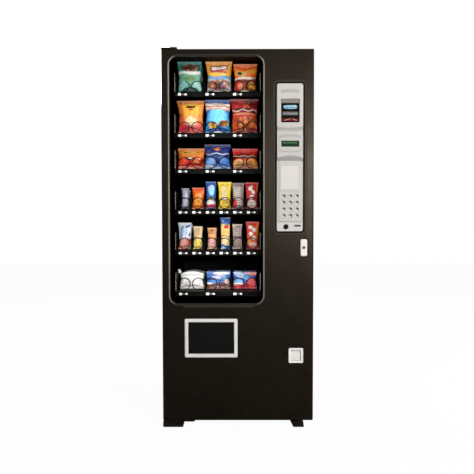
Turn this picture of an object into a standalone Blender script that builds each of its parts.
"""Glass-front snack vending machine.

Frame: metres, +Z up, +X to the customer's right, front at -Y.
Origin: bottom centre of the machine's overall box, on the floor.
Each sub-part is one object.  Door parts hang under the empty "door_hinge",
which sits on the hinge pins; every other moving piece has its own origin on
its joint's axis.
"""
import bpy
import bmesh
import math
from collections import namedtuple
from mathutils import Vector

# Upright rectangle in X and Z (the control box uses it in Y and Z).
Rect = namedtuple("Rect", "left right bottom top")


def grow(rect, offset):
    """Rectangle moved outward by offset on all sides."""
    return Rect(rect.left - offset, rect.right + offset, rect.bottom - offset, rect.top + offset)


def around(centre, half_width, half_height):
    x, z = centre
    return Rect(x - half_width, x + half_width, z - half_height, z + half_height)


# ----------------------------------------------------------------------------
# Driving dimensions (metres)
# ----------------------------------------------------------------------------
WIDTH = 0.730
DEPTH = 0.915            # handle to back panel
HEIGHT = 1.829           # floor to top hinge plate
SHEET = 0.003            # cabinet and door sheet
GAP = 0.0004             # clearance between touching pieces
BAY_GAP = 0.0006         # clearance beside the bay wall and behind the base lip
OVERCUT = 0.01           # how far cutting tools stand proud of a front face

X_LEFT, X_RIGHT = -WIDTH / 2, WIDTH / 2
Y_HANDLE = -DEPTH / 2    # foremost face, the handle bar
Y_BACK = DEPTH / 2
Y_DOOR = Y_HANDLE + 0.010             # front face of the door skin
Y_DOOR_BACK = -0.385
Y_CABINET = -0.379                    # front plane of the cabinet
Z_BOTTOM = 0.036                      # underside of cabinet and door
Z_CABINET = 1.820                     # top of the cabinet
Z_DOOR = 1.8195                       # top of the door

# Room inside the wrap and back panel
INNER_LEFT = X_LEFT + SHEET + GAP
INNER_RIGHT = X_RIGHT - SHEET - GAP
INNER_BACK = Y_BACK - SHEET - GAP
INNER_TOP = Z_CABINET - SHEET - GAP

# Cabinet
FLANGE_LEFT, FLANGE_RIGHT, FLANGE_TOP = 0.034, 0.022, 0.022   # front return widths
PAN_THICKNESS = 0.004
PAN_LIP = 0.075                       # height of the base pan's front lip
WALL_X0, WALL_X1 = 0.128, 0.131       # wall between product and payment bays

# Door hinge
HINGE_AXIS = (-0.353, -0.397)         # x, y
PIN_RADIUS = 0.005
PIN_BITE = 0.011                      # how far each pin enters the door
PIN_SIDES = 14
PIN_BORE = PIN_RADIUS + 0.0006
LOWER_PLATE_Z = 0.0295

# Door openings and fittings
DOOR = Rect(-0.3635, 0.3645, Z_BOTTOM, Z_DOOR)
WINDOW = Rect(-0.324, 0.121, 0.607, 1.7835)
WINDOW_RADIUS = 0.038
FASCIA = Rect(0.1865, 0.314, 0.9545, 1.6565)
READER_MASK = Rect(0.207, 0.295, 1.4725, 1.585)
READER_CASE = Rect(0.205, 0.297, 1.4665, 1.6865)
DISPLAY = Rect(0.208, 0.294, 1.3575, 1.3868)
DISPLAY_CASE = Rect(0.203, 0.299, 1.344, 1.400)
KEY_PLATE = Rect(0.1975, 0.3045, 1.002, 1.2905)
CARD = Rect(0.2065, 0.2937, 1.156, 1.268)
KEY_X = (0.2204, 0.2521, 0.2833)
KEY_Z = (1.1226, 1.0915, 1.0603, 1.0291)
KEY_RADIUS = 0.0107
BORE_CLEARANCE = 0.0007               # radial, around the keys and the button
BUTTON = (0.2312, 0.9762)             # x, z
BUTTON_RADIUS = 0.011
COIN_SLOT = (0.2868, 0.981)           # x, z
PICKUP = Rect(-0.2394, -0.0182, 0.3613, 0.5158)   # clear opening of the pick-up frame
CUP_RIM = Rect(0.2452, 0.3156, 0.3174, 0.3900)
CUP_MOUTH = Rect(0.258, 0.305, 0.327, 0.3820)
CUP_SHELL = Rect(0.2506, 0.3102, 0.3228, 0.3841)
LOCK = (0.3167, 0.876)                # x, z
LOCK_PLATE = Rect(0.300, 0.3334, 0.8345, 0.9170)

# Depths of the payment fittings
FASCIA_FRONT = Y_DOOR + 0.0005
FASCIA_STEP = Y_DOOR + 0.0063         # front of the rear flange
FASCIA_BACK = Y_DOOR + 0.0083
CASE_FRONT = FASCIA_BACK + 0.0005     # front of the cases behind the fascia
KEY_PLATE_FRONT = FASCIA_FRONT - 0.0024

# Trays
TRAY_X0, TRAY_X1 = -0.319, 0.116
TRAY_Y0, TRAY_Y1 = -0.2475, 0.2955
TRAY_TOPS = (1.6532, 1.4464, 1.265, 1.057, 0.849, 0.640)   # top of each tray floor
SELECTIONS = (3, 3, 3, 6, 6, 3)                            # selections per tray
TRAY_MID = (TRAY_X0 + TRAY_X1) / 2
LANES = 6                             # coils per tray
LANE_PITCH = 0.0696
LANE_X = [TRAY_MID + (i - (LANES - 1) / 2) * LANE_PITCH for i in range(LANES)]
LEDGE_Y0, LEDGE_Y1 = -0.235, 0.290
LEDGE_UNDER, LEDGE_OVER = 0.0045, 0.0024   # ledge faces, below the tray floor's top
LEDGE_REACH = 0.004                   # how far a ledge reaches under its tray

# Coils
COIL_RADIUS = 0.0288     # to the middle of the wire
WIRE_RADIUS = 0.0024
WIRE_SIDES = 3
COIL_RISE = 0.034        # coil axis above the tray floor
COIL_Y0, COIL_Y1 = -0.236, 0.246
COIL_START = math.radians(250)
RAIL_Y = 0.2960          # front face of the motor rail
RAIL_BACK = 0.3120

# (tray index, lane index): coils that are their own moving object
LIVE_COILS = {(1, 2): "coil_2b_left", (1, 3): "coil_2b_right",
              (3, 2): "coil_4c", (4, 4): "coil_5e"}

for leftover in list(bpy.data.objects):
    bpy.data.objects.remove(leftover, do_unlink=True)


# ----------------------------------------------------------------------------
# Materials
# ----------------------------------------------------------------------------
def material(name, rgb, roughness, metallic=0.0, alpha=1.0):
    result = bpy.data.materials.new(name)
    result.use_nodes = True
    inputs = result.node_tree.nodes["Principled BSDF"].inputs
    inputs["Base Color"].default_value = (*rgb, 1.0)
    inputs["Roughness"].default_value = roughness
    inputs["Metallic"].default_value = metallic
    inputs["Alpha"].default_value = alpha
    result.diffuse_color = (*rgb, alpha)
    return result


DOOR_PAINT = material("door_paint", rgb=(0.034, 0.027, 0.020), roughness=0.42)
CABINET_PAINT = material("cabinet_paint", rgb=(0.028, 0.024, 0.019), roughness=0.5)
LINER = material("liner_black", rgb=(0.012, 0.012, 0.012), roughness=0.6)
TRAY_STEEL = material("tray_steel", rgb=(0.10, 0.10, 0.11), roughness=0.45, metallic=0.3)
COIL_WIRE = material("coil_wire", rgb=(0.05, 0.05, 0.055), roughness=0.35, metallic=0.8)
GLASS = material("window_glass", rgb=(0.8, 0.85, 0.85), roughness=0.05, alpha=0.35)
BRONZE = material("trim_bronze", rgb=(0.07, 0.06, 0.045), roughness=0.35, metallic=0.4)
SILVER = material("panel_silver", rgb=(0.60, 0.58, 0.56), roughness=0.45)
KEY_PLATE_SILVER = material("keyplate_silver", rgb=(0.68, 0.66, 0.64), roughness=0.4)
KEY_PLASTIC = material("key_plastic", rgb=(0.75, 0.74, 0.72), roughness=0.35)
BLACK = material("black_plastic", rgb=(0.010, 0.010, 0.010), roughness=0.4)
LENS = material("display_lens", rgb=(0.010, 0.022, 0.016), roughness=0.1)
CHROME = material("bright_metal", rgb=(0.80, 0.80, 0.78), roughness=0.18, metallic=1.0)
PALE = material("pale_frame", rgb=(0.80, 0.79, 0.77), roughness=0.4)
ZINC = material("zinc_steel", rgb=(0.45, 0.46, 0.47), roughness=0.4, metallic=0.9)
RUBBER = material("seal_rubber", rgb=(0.012, 0.012, 0.012), roughness=0.8)


# ----------------------------------------------------------------------------
# Outlines: lists of 2D points, placed in a plane by at_x, at_y or at_z
# ----------------------------------------------------------------------------
def at_x(points, x):
    return [(x, y, z) for y, z in points]


def at_y(points, y):
    return [(x, y, z) for x, z in points]


def at_z(points, z):
    return [(x, y, z) for x, y in points]


def circle(centre, radius, sides):
    angles = [2 * math.pi * i / sides for i in range(sides)]
    return [(centre[0] + radius * math.cos(a), centre[1] + radius * math.sin(a)) for a in angles]


def arc(centre, radius, start, steps):
    """Half turn from the start angle, counter-clockwise."""
    angles = [start + math.pi * i / steps for i in range(steps + 1)]
    return [(centre[0] + radius * math.cos(a), centre[1] + radius * math.sin(a)) for a in angles]


def rounded(rect, radius, segments=2):
    """Rounded rectangle with this many segments per corner."""
    corners = ((rect.right - radius, rect.top - radius, 0),
               (rect.left + radius, rect.top - radius, 90),
               (rect.left + radius, rect.bottom + radius, 180),
               (rect.right - radius, rect.bottom + radius, 270))
    points = []
    for x, z, start in corners:
        for i in range(segments + 1):
            angle = math.radians(start + 90.0 * i / segments)
            points.append((x + radius * math.cos(angle), z + radius * math.sin(angle)))
    return points


# ----------------------------------------------------------------------------
# Shapes: each makes a new bmesh, or adds to the one given as "into"
# ----------------------------------------------------------------------------
def loft(loops, closed=False, into=None):
    """Skin a row of equal loops; ends are capped unless the row is closed."""
    shape = bmesh.new() if into is None else into
    rows = [[shape.verts.new(point) for point in loop] for loop in loops]
    count = len(rows[0])
    pairs = list(zip(rows[:-1], rows[1:]))
    if closed:
        pairs.append((rows[-1], rows[0]))
    for near, far in pairs:
        for i in range(count):
            j = (i + 1) % count
            shape.faces.new((near[i], near[j], far[j], far[i]))
    if not closed:
        shape.faces.new(rows[0])
        shape.faces.new(rows[-1])
    return shape


def prism(place, outline, start, end, into=None):
    """Straight extrusion; place is at_x, at_y or at_z."""
    return loft([place(outline, start), place(outline, end)], into=into)


def cylinder(place, centre, radius, start, end, sides, into=None):
    return prism(place, circle(centre, radius, sides), start, end, into)


def box(x0, x1, y0, y1, z0, z1, into=None):
    return prism(at_y, [(x0, z0), (x1, z0), (x1, z1), (x0, z1)], y0, y1, into)


def slab(rect, radius, y0, y1, segments=2, into=None):
    return prism(at_y, rounded(rect, radius, segments), y0, y1, into)


def stack(sections, segments=2, closed=False):
    """Loft along Y through sections of (rect, corner radius, y)."""
    return loft([at_y(rounded(rect, radius, segments), y) for rect, radius, y in sections],
                closed)


def discs(centre, sections, closed=False):
    """Loft along Y through 16-sided circles of (radius, y)."""
    return loft([at_y(circle(centre, radius, 16), y) for radius, y in sections], closed)


def ring(rect, radius, profile, segments=2):
    """Frame around rect; profile is a closed list of (outward offset, y)."""
    return stack([(grow(rect, offset), radius + offset, y) for offset, y in profile],
                 segments, closed=True)


# ----------------------------------------------------------------------------
# Objects
# ----------------------------------------------------------------------------
def to_mesh(name, shape, smooth_angle=None):
    """Mesh from a bmesh; edges sharper than smooth_angle (degrees) stay sharp."""
    bmesh.ops.recalc_face_normals(shape, faces=shape.faces)
    mesh = bpy.data.meshes.new(name)
    shape.to_mesh(mesh)
    shape.free()
    if smooth_angle:
        mesh.shade_smooth()
        mesh.set_sharp_from_angle(angle=math.radians(smooth_angle))
    return mesh


def link(name, mesh, surface):
    piece = bpy.data.objects.new(name, mesh)
    if surface is not None and not mesh.materials:
        mesh.materials.append(surface)
    bpy.context.scene.collection.objects.link(piece)
    return piece


def make(name, shape, surface, smooth_angle=None):
    """Turn a bmesh, built in world coordinates, into an object."""
    return link(name, to_mesh(name, shape, smooth_angle), surface)


def combine(piece, shape, operation):
    """Boolean the closed shells in shape with piece and keep the result as its mesh."""
    tool = make(piece.name + "_tool", shape, None)
    modifier = piece.modifiers.new("combine", "BOOLEAN")
    modifier.operation = operation
    modifier.solver = "EXACT"
    modifier.object = tool
    bpy.context.view_layer.update()
    graph = bpy.context.evaluated_depsgraph_get()
    mesh = bpy.data.meshes.new_from_object(piece.evaluated_get(graph))
    piece.modifiers.clear()
    previous = piece.data
    piece.data = mesh
    mesh.name = piece.name
    bpy.data.meshes.remove(previous)
    tool_mesh = tool.data
    bpy.data.objects.remove(tool, do_unlink=True)
    bpy.data.meshes.remove(tool_mesh)
    # Merge doubled vertices and coplanar faces left by the boolean.
    clean = bmesh.new()
    clean.from_mesh(mesh)
    bmesh.ops.remove_doubles(clean, verts=clean.verts, dist=1e-6)
    bmesh.ops.dissolve_limit(clean, angle_limit=math.radians(0.05),
                             verts=clean.verts, edges=clean.edges)
    clean.to_mesh(mesh)
    clean.free()
    return piece


def cut(piece, shape):
    return combine(piece, shape, "DIFFERENCE")


def join(piece, shape):
    return combine(piece, shape, "UNION")


def world_of(item):
    """World position of an unrotated, unscaled object."""
    position = Vector(item.location)
    while item.parent is not None:
        item = item.parent
        position += Vector(item.location)
    return position


def seat(piece, pivot, parent):
    """Parent the piece with its origin on pivot; mesh coordinates are left alone."""
    piece.parent = parent
    piece.location = Vector(pivot) - world_of(parent)


def seat_in_place(piece, pivot, parent):
    """Seat the piece on pivot without moving its shape."""
    for vertex in piece.data.vertices:
        vertex.co -= Vector(pivot)
    seat(piece, pivot, parent)


def empty(name, position, parent=None):
    result = bpy.data.objects.new(name, None)
    result.empty_display_size = 0.05
    bpy.context.scene.collection.objects.link(result)
    result.location = position
    if parent is not None:
        seat(result, position, parent)
    return result


DOOR_PIVOT = (*HINGE_AXIS, Z_BOTTOM)
MACHINE = empty("machine", (0, 0, 0))
DOOR_HINGE = empty("door_hinge", DOOR_PIVOT, MACHINE)


def body(piece, pivot=(0, 0, 0)):
    seat_in_place(piece, pivot, MACHINE)


def on_door(piece, pivot=DOOR_PIVOT):
    seat_in_place(piece, pivot, DOOR_HINGE)


# ----------------------------------------------------------------------------
# Cabinet
# ----------------------------------------------------------------------------
def arch(left, right, top):
    """Inverted U: the cabinet's outer outline with legs and top of given widths."""
    return [(X_LEFT, Z_BOTTOM), (X_LEFT + left, Z_BOTTOM), (X_LEFT + left, Z_CABINET - top),
            (X_RIGHT - right, Z_CABINET - top), (X_RIGHT - right, Z_BOTTOM),
            (X_RIGHT, Z_BOTTOM), (X_RIGHT, Z_CABINET), (X_LEFT, Z_CABINET)]


def cabinet_wrap():
    """Two sides and the top from one folded sheet, with a front return flange."""
    flange = arch(FLANGE_LEFT, FLANGE_RIGHT, FLANGE_TOP)
    walls = arch(SHEET, SHEET, SHEET)
    shape = loft([at_y(flange, Y_CABINET), at_y(flange, Y_CABINET + SHEET),
                  at_y(walls, Y_CABINET + SHEET + 0.0001), at_y(walls, INNER_BACK)])
    body(make("cabinet_wrap", shape, CABINET_PAINT))


def cabinet_base():
    """Base pan with an upturned front lip between the flanges."""
    floor_top = Z_BOTTOM + PAN_THICKNESS
    lip_top = Z_BOTTOM + PAN_LIP
    profile = [(Y_CABINET, Z_BOTTOM), (INNER_BACK, Z_BOTTOM), (INNER_BACK, floor_top),
               (Y_CABINET + SHEET, floor_top), (Y_CABINET + SHEET, lip_top),
               (Y_CABINET, lip_top)]
    pan = make("cabinet_base", prism(at_x, profile, X_LEFT + FLANGE_LEFT + GAP,
                                     X_RIGHT - FLANGE_RIGHT - GAP), CABINET_PAINT)
    body(join(pan, box(INNER_LEFT, INNER_RIGHT, Y_CABINET + SHEET + BAY_GAP, INNER_BACK,
                       Z_BOTTOM, floor_top)))


def cabinet_back():
    """Back panel with two groups of louvre slots and a cord hole."""
    slot_half_width, slot_height, slot_pitch = 0.11, 0.008, 0.028
    cord_hole, cord_radius = (0.27, 0.16), 0.014
    tool_y = (Y_BACK - 0.02, Y_BACK + 0.02)
    outline = Rect(X_LEFT, X_RIGHT, Z_BOTTOM, Z_CABINET)
    back = make("cabinet_back", slab(outline, 0.002, Y_BACK - SHEET, Y_BACK, segments=1),
                CABINET_PAINT)
    holes = bmesh.new()
    for lowest in (1.62, 0.26):
        for i in range(4):
            z = lowest + i * slot_pitch
            slot = Rect(-slot_half_width, slot_half_width, z, z + slot_height)
            slab(slot, 0.0030, *tool_y, segments=1, into=holes)
    cylinder(at_y, cord_hole, cord_radius, *tool_y, sides=12, into=holes)
    body(cut(back, holes))


def bay_partition():
    """Wall between the product bay and the payment bay, with ledges for the trays."""
    wall = make("bay_partition", box(WALL_X0, WALL_X1, -0.370, INNER_BACK, Z_BOTTOM + 0.0045,
                                     INNER_TOP), LINER)
    ledges = bmesh.new()
    for z in TRAY_TOPS:
        box(TRAY_X1 - LEDGE_REACH, WALL_X0 + 0.001, LEDGE_Y0, LEDGE_Y1,
            z - LEDGE_UNDER, z - LEDGE_OVER, into=ledges)
    body(join(wall, ledges))


def tray_rail_left():
    """Upright strip on the cabinet's left side, with ledges for the trays."""
    strip_face = INNER_LEFT + 0.002
    ledge_tip = TRAY_X0 + LEDGE_REACH
    bottom, top = 0.560, 1.760
    profile = [(INNER_LEFT, bottom), (strip_face, bottom)]
    for z in reversed(TRAY_TOPS):
        profile += [(strip_face, z - LEDGE_UNDER), (ledge_tip, z - LEDGE_UNDER),
                    (ledge_tip, z - LEDGE_OVER), (strip_face, z - LEDGE_OVER)]
    profile += [(strip_face, top), (INNER_LEFT, top)]
    body(make("tray_rail_left", prism(at_y, profile, LEDGE_Y0, LEDGE_Y1), LINER))


def top_hinge():
    """Plate over the door's top corner, with a fixed pin; its top edge is eased."""
    ease = 0.0008
    outline = [(X_LEFT, Y_DOOR), (-0.2935, Y_DOOR), (-0.2885, Y_DOOR + 0.006),
               (-0.2885, -0.315), (X_LEFT, -0.315)]
    # Right-hand points shrink slightly toward x = 0, the others move in by the ease.
    eased = [(x * 0.998 if x > -0.3 else x + ease, y + (ease if y < -0.4 else -ease))
             for x, y in outline]
    plate = make("top_hinge", loft([at_z(outline, Z_CABINET + 0.0005),
                                    at_z(outline, HEIGHT - 0.0010),
                                    at_z(eased, HEIGHT)]), CABINET_PAINT)
    pin = cylinder(at_z, HINGE_AXIS, PIN_RADIUS, Z_DOOR - PIN_BITE, Z_CABINET + 0.004,
                   PIN_SIDES)
    body(join(plate, pin), (*HINGE_AXIS, Z_CABINET))


def bottom_hinge():
    """Plate under the door's bottom corner, with a fixed pin."""
    outline = [(-0.3605, Y_DOOR), (-0.214, Y_DOOR), (-0.2097, Y_DOOR + 0.005),
               (-0.2097, -0.3795), (-0.3605, -0.3795)]
    plate = make("bottom_hinge", prism(at_z, outline, LOWER_PLATE_Z, 0.0353), CABINET_PAINT)
    pin = cylinder(at_z, HINGE_AXIS, PIN_RADIUS, 0.0320, Z_BOTTOM + PIN_BITE, PIN_SIDES)
    body(join(plate, pin), (*HINGE_AXIS, LOWER_PLATE_Z))


def skid(name, floor_x, top_x):
    """Base skid; its sides lean from floor_x on the floor to top_x at the top."""
    top = Z_BOTTOM - 0.0003
    profile = [(-0.440, 0.0), (0.450, 0.0), (0.450, top), (-0.3787, top),
               (-0.3787, 0.029), (-0.440, 0.029)]
    sides = [[(low + (high - low) * z / top, y, z) for y, z in profile]
             for low, high in zip(floor_x, top_x)]
    body(make(name, loft(sides), CABINET_PAINT))


def door_gasket():
    """Foam seal on the cabinet's front flange."""
    base = Y_CABINET - 0.0004
    profile = [(0.0, base), (0.0, -0.3844), (0.002, -0.3846), (0.009, -0.3846),
               (0.010, -0.3840), (0.010, base)]
    shape = ring(Rect(-0.328, 0.347, 0.062, 1.801), 0.006, profile)
    body(make("door_gasket", shape, RUBBER))


# ----------------------------------------------------------------------------
# Trays and vend coils
# ----------------------------------------------------------------------------
def tray(index):
    """Tray with side walls, a divider between selections and a front label rail."""
    sheet, side_height = 0.002, 0.096
    divider_half, divider_height = 0.0008, 0.060
    z = TRAY_TOPS[index]
    selections = SELECTIONS[index]
    pitch = LANE_PITCH * LANES / selections
    first = LANE_X[0] - LANE_PITCH / 2
    profile = [(TRAY_X0, z - sheet), (TRAY_X1, z - sheet), (TRAY_X1, z + side_height),
               (TRAY_X1 - sheet, z + side_height), (TRAY_X1 - sheet, z)]
    for i in range(selections - 1, 0, -1):
        x = first + i * pitch
        profile += [(x + divider_half, z), (x + divider_half, z + divider_height),
                    (x - divider_half, z + divider_height), (x - divider_half, z)]
    profile += [(TRAY_X0 + sheet, z), (TRAY_X0 + sheet, z + side_height),
                (TRAY_X0, z + side_height)]
    piece = make("tray_%d" % (index + 1), prism(at_y, profile, TRAY_Y0 + 0.004, TRAY_Y1),
                 TRAY_STEEL)
    # Price-label rail: a lipped strip across the front.
    rail = [(TRAY_Y0, z - 0.026), (TRAY_Y0 + 0.0015, z - 0.026), (TRAY_Y0 + 0.0015, z - 0.002),
            (TRAY_Y0 + 0.006, z - 0.0018), (TRAY_Y0 + 0.006, z + 0.0008), (TRAY_Y0, z + 0.0008)]
    join(piece, prism(at_x, rail, TRAY_X0 - 0.0005, TRAY_X1 + 0.0005))
    body(piece, (TRAY_MID, TRAY_Y0, z))


def coil_path(index, lane, segments, shaft_end):
    """Wire centre line: a helix, a spoke to its axis, then a drive shaft."""
    paired = SELECTIONS[index] == 3
    # In a two-coil selection the right coil mirrors the left one.
    hand = -1 if paired and lane % 2 == 1 else 1
    turns = 6 if paired else 9
    x, z = LANE_X[lane], TRAY_TOPS[index] + COIL_RISE

    def point(radius, angle, y):
        return Vector((x + hand * radius * math.cos(angle), y, z + radius * math.sin(angle)))

    total = turns * segments
    path = [point(COIL_RADIUS, COIL_START + 2 * math.pi * i / segments,
                  COIL_Y0 + (COIL_Y1 - COIL_Y0) * i / total) for i in range(total + 1)]
    path.append(point(0.006, COIL_START + 2 * math.pi * turns, COIL_Y1 + 0.010))
    path.append(Vector((x, COIL_Y1 + 0.020, z)))
    path.append(Vector((x, shaft_end, z)))
    return path


def wire(path, into=None):
    """Sweep the wire's polygon along a polyline, carrying its frame along."""
    normal = Vector((0, 0, 1))
    loops = []
    for i, centre in enumerate(path):
        tangent = (path[min(i + 1, len(path) - 1)] - path[max(i - 1, 0)]).normalized()
        normal = (normal - tangent * normal.dot(tangent)).normalized()
        across = tangent.cross(normal)
        angles = [2 * math.pi * k / WIRE_SIDES for k in range(WIRE_SIDES)]
        loops.append([centre + (normal * math.cos(a) + across * math.sin(a)) * WIRE_RADIUS
                      for a in angles])
    return loft(loops, into=into)


def coil_bank(index):
    """Motor rail behind a tray with the fixed coils it drives."""
    block_half, block_back = 0.021, 0.372     # one block behind the rail per lane
    z = TRAY_TOPS[index]
    x0, x1 = TRAY_X0 + 0.0030, TRAY_X1 - 0.0030
    profile = [(x0, RAIL_Y), (x1, RAIL_Y), (x1, RAIL_BACK)]
    for x in reversed(LANE_X):
        profile += [(x + block_half, RAIL_BACK), (x + block_half, block_back),
                    (x - block_half, block_back), (x - block_half, RAIL_BACK)]
    profile += [(x0, RAIL_BACK)]
    piece = make("tray_%d_coils" % (index + 1), prism(at_z, profile, z + 0.0640, z + 0.100),
                 COIL_WIRE)
    # Gear plate hangs from the rail behind the coils.
    join(piece, box(x0, x1, RAIL_Y, RAIL_Y + 0.006, z + 0.0008, z + 0.070))
    coils = bmesh.new()
    for lane in range(LANES):
        if (index, lane) not in LIVE_COILS:
            wire(coil_path(index, lane, segments=6, shaft_end=RAIL_Y + 0.003), into=coils)
    body(join(piece, coils), (TRAY_MID, RAIL_Y, z))


def live_coil(index, lane, name):
    """Coil that turns on its own; its shaft stops just short of the rail."""
    shape = wire(coil_path(index, lane, segments=8, shaft_end=RAIL_Y - GAP))
    body(make(name, shape, COIL_WIRE, smooth_angle=50),
         (LANE_X[lane], COIL_Y0, TRAY_TOPS[index] + COIL_RISE))


# ----------------------------------------------------------------------------
# Inside the payment bay and below the trays
# ----------------------------------------------------------------------------
def delivery_bin():
    """Pick-up bin: open at the top for falling packets and at the front for a hand."""
    left, right, side = -0.316, WALL_X0 - BAY_GAP, 0.0025
    # Outlines of (y, z)
    outer = [(-0.3715, 0.322), (-0.215, 0.310), (-0.140, 0.560), (-0.3715, 0.560)]
    hollow = [(-0.400, 0.3265), (-0.217, 0.3127), (-0.131, 0.600), (-0.400, 0.600)]
    piece = make("delivery_bin", prism(at_x, outer, left, right), LINER)
    body(cut(piece, prism(at_x, hollow, left + side, right - side)))


def coin_changer():
    """Case with a bevelled front and a rectangular mouth on top."""
    case = Rect(WALL_X1 + BAY_GAP, 0.246, 0.450, 0.800)
    piece = make("coin_changer", stack([(grow(case, -0.004), 0.004, -0.352),
                                        (case, 0.005, -0.348),
                                        (case, 0.005, -0.270)]), BLACK)
    body(cut(piece, box(0.165, 0.232, -0.335, -0.290, 0.770, 0.81)))


def control_box():
    """Control box with power supply, on the right-hand side wall."""
    case = Rect(-0.220, 0.080, 1.020, 1.380)      # y, y, z, z
    outline = rounded(case, 0.006)
    shape = loft([at_x(outline, INNER_RIGHT), at_x(outline, 0.234),
                  at_x(rounded(grow(case, -0.006), 0.004), 0.230)])
    body(make("control_box", shape, ZINC))


# ----------------------------------------------------------------------------
# Door panel, window and fascia
# ----------------------------------------------------------------------------
def door_stack(sections, radius):
    """Loft of the door outline; sections are (y, inset, inset on the latch side)."""
    return stack([(Rect(DOOR.left + inset, DOOR.right - latch_inset,
                        DOOR.bottom + inset, DOOR.top - inset), radius, y)
                  for y, inset, latch_inset in sections])


def door_panel():
    """Hollow door skin, open at the rear, with its front openings and pin bores."""
    panel = make("door_panel", door_stack([(Y_DOOR, 0.0030, 0.0120),
                                           (Y_DOOR + 0.0010, 0.0012, 0.0065),
                                           (Y_DOOR + 0.0030, 0.0, 0.0020),
                                           (Y_DOOR + 0.0070, 0.0, 0.0),
                                           (Y_DOOR_BACK, 0.0, 0.0)], 0.006), DOOR_PAINT)
    cut(panel, door_stack([(Y_DOOR + SHEET, 0.0045, 0.0120),
                           (Y_DOOR + SHEET + 0.005, SHEET, SHEET),
                           (Y_DOOR_BACK + 0.01, SHEET, SHEET)], 0.003))
    # Opening, corner radius, segments per corner
    openings = ((grow(WINDOW, 0.006), WINDOW_RADIUS + 0.006, 5),
                (grow(FASCIA, 0.0125), 0.019, 3),
                (grow(PICKUP, 0.0106), 0.006, 2),
                (grow(CUP_SHELL, GAP), 0.004, 2))
    tool_y = (Y_DOOR - OVERCUT, Y_DOOR + OVERCUT)
    holes = bmesh.new()
    for rect, radius, segments in openings:
        slab(rect, radius, *tool_y, segments, into=holes)
    cylinder(at_y, LOCK, 0.0130, *tool_y, sides=16, into=holes)
    for z0, z1 in ((0.02, 0.06), (1.80, 1.84)):
        cylinder(at_z, HINGE_AXIS, PIN_BORE, z0, z1, PIN_SIDES, into=holes)
    on_door(cut(panel, holes))


def window_glass():
    """Pane behind the door skin."""
    front = Y_DOOR + SHEET + GAP
    shape = slab(grow(WINDOW, 0.014), WINDOW_RADIUS + 0.012, front, front + 0.004, segments=5)
    on_door(make("window_glass", shape, GLASS))


def window_trim():
    """Sloped trim around the window opening."""
    profile = [(0.0, Y_DOOR + 0.0022), (0.0, Y_DOOR + 0.0005), (0.0088, Y_DOOR - 0.0028),
               (0.0110, Y_DOOR - 0.0016), (0.0110, Y_DOOR - GAP), (0.0055, Y_DOOR - GAP),
               (0.0055, Y_DOOR + 0.0022)]
    on_door(make("window_trim", ring(WINDOW, WINDOW_RADIUS, profile, segments=5), BRONZE,
                 smooth_angle=25))


def control_fascia():
    """Payment fascia: a raised plate on a wider rear flange."""
    flange = grow(FASCIA, 0.016)
    fascia = make("control_fascia", stack([(grow(FASCIA, -0.0010), 0.0090, FASCIA_FRONT),
                                           (FASCIA, 0.0100, FASCIA_FRONT + 0.0010),
                                           (FASCIA, 0.0100, FASCIA_STEP),
                                           (flange, 0.024, FASCIA_STEP),
                                           (flange, 0.024, FASCIA_BACK)], segments=3), SILVER)
    key_field = grow(Rect(KEY_X[0], KEY_X[-1], KEY_Z[-1], KEY_Z[0]), 0.0140)
    tool_y = (Y_DOOR - OVERCUT, Y_DOOR + 0.02)
    holes = bmesh.new()
    for rect, radius in ((READER_MASK, 0.004), (DISPLAY, 0.002), (key_field, 0.004),
                         (around(COIN_SLOT, 0.01765, 0.00665), 0.003)):
        slab(rect, radius, *tool_y, into=holes)
    cylinder(at_y, BUTTON, BUTTON_RADIUS + BORE_CLEARANCE, *tool_y, sides=16, into=holes)
    on_door(cut(fascia, holes))


def fascia_bezel():
    profile = [(0.0080, Y_DOOR + 0.0040), (0.0080, Y_DOOR - 0.0014), (0.0098, Y_DOOR - 0.0024),
               (0.0150, Y_DOOR - 0.0020), (0.0180, Y_DOOR - GAP), (0.0120, Y_DOOR - GAP),
               (0.0120, Y_DOOR + 0.0040)]
    on_door(make("fascia_bezel", ring(FASCIA, 0.010, profile, segments=3), BRONZE,
                 smooth_angle=25))


# ----------------------------------------------------------------------------
# Payment fittings
# ----------------------------------------------------------------------------
def bill_validator():
    """Banknote reader: mask, tapering mouth and the note box behind it."""
    reader = make("bill_validator", slab(READER_CASE, 0.004, CASE_FRONT, -0.332), BLACK)
    mask = grow(READER_MASK, -0.0006)
    join(reader, stack([(grow(READER_MASK, -0.0020), 0.003, Y_DOOR - 0.0030),
                        (mask, 0.0034, Y_DOOR - 0.0018),
                        (mask, 0.0034, FASCIA_BACK + 0.003)]))
    mouth = ((READER_MASK.left + READER_MASK.right) / 2, 1.546)
    throat = around(mouth, 0.033, 0.0030)
    on_door(cut(reader, stack([(around(mouth, 0.036, 0.0105), 0.010, Y_DOOR - OVERCUT),
                               (throat, 0.0028, Y_DOOR + 0.020),
                               (throat, 0.0028, Y_DOOR + 0.060)], segments=4)))


def display_module():
    """Text display: lens in front, board case behind."""
    module = make("display_module",
                  slab(DISPLAY_CASE, 0.003, CASE_FRONT, FASCIA_BACK + 0.014), LENS)
    on_door(join(module, slab(grow(DISPLAY, -0.0006), 0.0018, Y_DOOR + 0.0018,
                              FASCIA_BACK + 0.002)))


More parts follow.
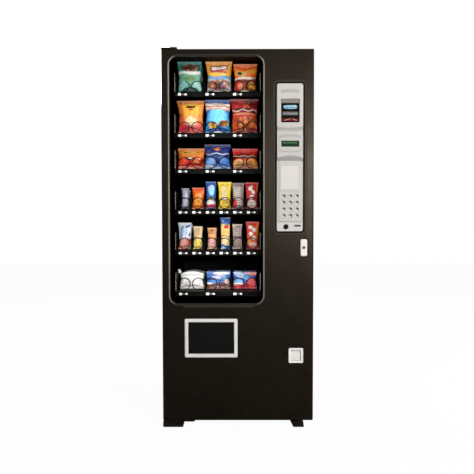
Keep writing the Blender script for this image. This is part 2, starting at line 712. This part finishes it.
def keypad_plate():
    """Raised plate with a card frame above and bores for the keys."""
    plate = make("keypad_plate",
                 stack([(grow(KEY_PLATE, -0.0008), 0.0100, KEY_PLATE_FRONT),
                        (KEY_PLATE, 0.0108, KEY_PLATE_FRONT + 0.0008),
                        (KEY_PLATE, 0.0108, FASCIA_FRONT - GAP)], segments=3),
                 KEY_PLATE_SILVER)
    # (outward offset, height in front of the plate)
    card_frame = [(-0.0002, -0.0006), (-0.0002, 0.0006), (0.0012, 0.0012),
                  (0.0028, 0.0006), (0.0030, -0.0006)]
    join(plate, ring(CARD, 0.003, [(offset, KEY_PLATE_FRONT - height)
                                   for offset, height in card_frame]))
    bores = bmesh.new()
    for x in KEY_X:
        for z in KEY_Z:
            cylinder(at_y, (x, z), KEY_RADIUS + BORE_CLEARANCE, Y_DOOR - 0.02, Y_DOOR + 0.02,
                     sides=12, into=bores)
    on_door(cut(plate, bores))


def key_mesh():
    """Round key cap with a dished face, centred on the Y axis at its world depth."""
    sides = 12
    front = KEY_PLATE_FRONT - 0.0016
    sections = ((KEY_RADIUS, FASCIA_BACK + 0.0020), (KEY_RADIUS, front + 0.0006),
                (KEY_RADIUS - 0.0009, front))     # radius, y
    shape = bmesh.new()
    rows = [[shape.verts.new(point) for point in at_y(circle((0, 0), radius, sides), y)]
            for radius, y in sections]
    for near, far in zip(rows[:-1], rows[1:]):
        for i in range(sides):
            j = (i + 1) % sides
            shape.faces.new((near[i], near[j], far[j], far[i]))
    shape.faces.new(rows[0])
    hub = shape.verts.new((0, front + 0.0010, 0))
    for i in range(sides):
        shape.faces.new((rows[-1][i], rows[-1][(i + 1) % sides], hub))
    return to_mesh("key_cap", shape, smooth_angle=25)


def keys():
    """Twelve keys sharing one mesh."""
    names = (("key_1", "key_2", "key_3"), ("key_4", "key_5", "key_6"),
             ("key_7", "key_8", "key_9"), ("key_star", "key_0", "key_hash"))
    cap = key_mesh()
    for row, z in zip(names, KEY_Z):
        for name, x in zip(row, KEY_X):
            seat(link(name, cap, KEY_PLASTIC), (x, 0.0, z), DOOR_HINGE)


def coin_entry():
    """Slotted bezel with its chute, as a closed tube."""
    slot = around(COIN_SLOT, 0.0145, 0.00325)
    outside = grow(slot, 0.0030)
    rear = -0.3895
    # Outline and y of each section; all have the same corner radius.
    sections = ((slot, FASCIA_FRONT - 0.0008), (grow(slot, 0.0018), FASCIA_FRONT - 0.0014),
                (outside, FASCIA_FRONT - 0.0006), (outside, rear), (slot, rear))
    on_door(make("coin_entry", stack([(rect, 0.0030, y) for rect, y in sections],
                                     closed=True), PALE))


def coin_return_button():
    shape = discs(BUTTON, [(BUTTON_RADIUS, FASCIA_BACK + 0.004),
                           (BUTTON_RADIUS, FASCIA_FRONT - 0.0040),
                           (BUTTON_RADIUS - 0.0012, FASCIA_FRONT - 0.0055)])
    on_door(make("coin_return_button", shape, BLACK, smooth_angle=30),
            (BUTTON[0], FASCIA_FRONT, BUTTON[1]))


# ----------------------------------------------------------------------------
# Pick-up frame, coin cup and their flaps
# ----------------------------------------------------------------------------
PICKUP_AXIS = (Y_DOOR + 0.0095, PICKUP.top - 0.0050)      # flap pin: y, z
CUP_AXIS = (Y_DOOR + 0.0085, CUP_MOUTH.top - 0.0034)


def delivery_frame():
    """Frame of the pick-up opening, bored for the flap's pin ends."""
    rear = -0.4050
    profile = [(0.0, Y_DOOR - 0.0015), (0.0025, Y_DOOR - 0.0045), (0.0145, Y_DOOR - 0.0045),
               (0.0170, Y_DOOR - 0.0005), (0.0100, Y_DOOR - 0.0005), (0.0100, rear),
               (0.0, rear)]
    frame = make("delivery_frame", ring(PICKUP, 0.0016, profile), PALE)
    on_door(cut(frame, cylinder(at_x, PICKUP_AXIS, 0.0021, PICKUP.left - 0.0035,
                                PICKUP.right + 0.0035, sides=10)))


def coin_cup():
    """Open sleeve with a front rim, pin bores and a notch in its top."""
    sections = [(CUP_SHELL, 0.004, -0.3920), (CUP_SHELL, 0.004, Y_DOOR - GAP),
                (CUP_RIM, 0.006, Y_DOOR - GAP), (CUP_RIM, 0.006, Y_DOOR - 0.0025),
                (grow(CUP_RIM, -0.0018), 0.005, Y_DOOR - 0.0042),
                (grow(CUP_MOUTH, 0.0012), 0.0036, Y_DOOR - 0.0042),
                (CUP_MOUTH, 0.0016, Y_DOOR - 0.0030), (CUP_MOUTH, 0.0016, -0.3945)]
    cup = make("coin_cup", stack(sections), PALE)
    holes = cylinder(at_x, CUP_AXIS, 0.0015, CUP_MOUTH.left - 0.0022,
                     CUP_MOUTH.right + 0.0022, sides=10)
    box(0.270, 0.293, -0.418, -0.404, 0.376, 0.390, into=holes)
    on_door(cut(cup, holes))


def flap(name, surface, opening, axis, side_gap, half_thickness, top_radius, top_steps,
         pin_radius, pin_reach):
    """Flap filling an opening, with a rounded top around its pin."""
    x0, x1 = opening.left + side_gap, opening.right - side_gap
    bottom = opening.bottom + 0.0008
    profile = [(axis[0] - half_thickness, bottom), (axis[0] + half_thickness, bottom)]
    profile += arc(axis, top_radius, 0.0, top_steps)
    piece = make(name, prism(at_x, profile, x0, x1), surface)
    join(piece, cylinder(at_x, axis, pin_radius, x0 - pin_reach, x1 + pin_reach, sides=10))
    on_door(piece, ((x0 + x1) / 2, *axis))


# ----------------------------------------------------------------------------
# Door lock
# ----------------------------------------------------------------------------
def lock_escutcheon():
    """Plate with a bored sleeve behind it."""
    plate = make("lock_escutcheon",
                 stack([(grow(LOCK_PLATE, -0.0010), 0.0070, Y_DOOR - 0.0030),
                        (LOCK_PLATE, 0.0080, Y_DOOR - 0.0018),
                        (LOCK_PLATE, 0.0080, Y_DOOR - GAP)], segments=3), CHROME)
    join(plate, cylinder(at_y, LOCK, 0.0124, Y_DOOR - 0.0015, -0.3950, sides=16))
    on_door(cut(plate, cylinder(at_y, LOCK, 0.0090, Y_DOOR - 0.02, -0.38, sides=16)))


def handle_plunger():
    """Tube that slides in the escutcheon's sleeve."""
    inside, outside = 0.0045, 0.0085
    front, rear = Y_DOOR - 0.0032, -0.3940
    shape = discs(LOCK, [(inside, front), (outside, front), (outside, rear), (inside, rear)],
                  closed=True)
    on_door(make("handle_plunger", shape, ZINC, smooth_angle=40), (LOCK[0], Y_DOOR, LOCK[1]))


def t_handle():
    """Bar handle with a spindle behind and a recess for the key cylinder."""
    bar = around(LOCK, 0.0142, 0.0385)
    handle = make("t_handle", stack([(grow(bar, -0.0012), 0.0060, Y_HANDLE),
                                     (bar, 0.0070, Y_HANDLE + 0.0012),
                                     (bar, 0.0070, Y_DOOR - 0.0038)], segments=3), CHROME)
    join(handle, cylinder(at_y, LOCK, 0.0040, Y_HANDLE + 0.004, -0.4000, sides=14))
    cut(handle, cylinder(at_y, LOCK, 0.0080, Y_HANDLE - OVERCUT, Y_HANDLE + 0.0042, sides=16))
    on_door(handle, (LOCK[0], Y_DOOR, LOCK[1]))


def lock_cylinder():
    """Key cylinder with an upright key slot."""
    lock = make("lock_cylinder", discs(LOCK, [(0.0075, Y_HANDLE + 0.0038),
                                              (0.0075, Y_HANDLE + 0.0008),
                                              (0.0068, Y_HANDLE + 0.0003)]), ZINC)
    slot = around(LOCK, 0.0008, 0.0040)
    cut(lock, box(slot.left, slot.right, Y_HANDLE - OVERCUT, Y_HANDLE + 0.0022,
                  slot.bottom, slot.top))
    on_door(lock, (LOCK[0], Y_HANDLE, LOCK[1]))


def latch_cam():
    """Cam behind the lock: round on the left, reaching right."""
    x, z = LOCK
    outline = arc(LOCK, 0.0075, math.pi / 2, 8)
    outline += [(x + 0.0215, z - 0.0060), (x + 0.0225, z - 0.0050),
                (x + 0.0225, z + 0.0050), (x + 0.0215, z + 0.0060)]
    on_door(make("latch_cam", prism(at_y, outline, -0.3935, -0.3895), ZINC, smooth_angle=30),
            (x, -0.3915, z))


# ----------------------------------------------------------------------------
# Build
# ----------------------------------------------------------------------------
cabinet_wrap()
cabinet_base()
cabinet_back()
bay_partition()
tray_rail_left()
top_hinge()
bottom_hinge()
skid("leg_left", floor_x=(X_LEFT + 0.0005, -0.267), top_x=(X_LEFT + 0.0005, -0.259))
skid("leg_right", floor_x=(0.270, 0.322), top_x=(0.2516, 0.3165))
door_gasket()

for tray_index in range(len(TRAY_TOPS)):
    tray(tray_index)
    coil_bank(tray_index)
for (tray_index, lane_index), coil_name in LIVE_COILS.items():
    live_coil(tray_index, lane_index, coil_name)

delivery_bin()
coin_changer()
control_box()

door_panel()
window_glass()
window_trim()
control_fascia()
fascia_bezel()
bill_validator()
display_module()
keypad_plate()
keys()
coin_entry()
coin_return_button()

delivery_frame()
flap("delivery_flap", BLACK, PICKUP, PICKUP_AXIS, side_gap=0.0008, half_thickness=0.0025,
     top_radius=0.0030, top_steps=6, pin_radius=0.0015, pin_reach=0.0030)
coin_cup()
flap("coin_return_flap", PALE, CUP_MOUTH, CUP_AXIS, side_gap=0.0007, half_thickness=0.0012,
     top_radius=0.0019, top_steps=4, pin_radius=0.0011, pin_reach=0.0019)

lock_escutcheon()
handle_plunger()
t_handle()
lock_cylinder()
latch_cam()
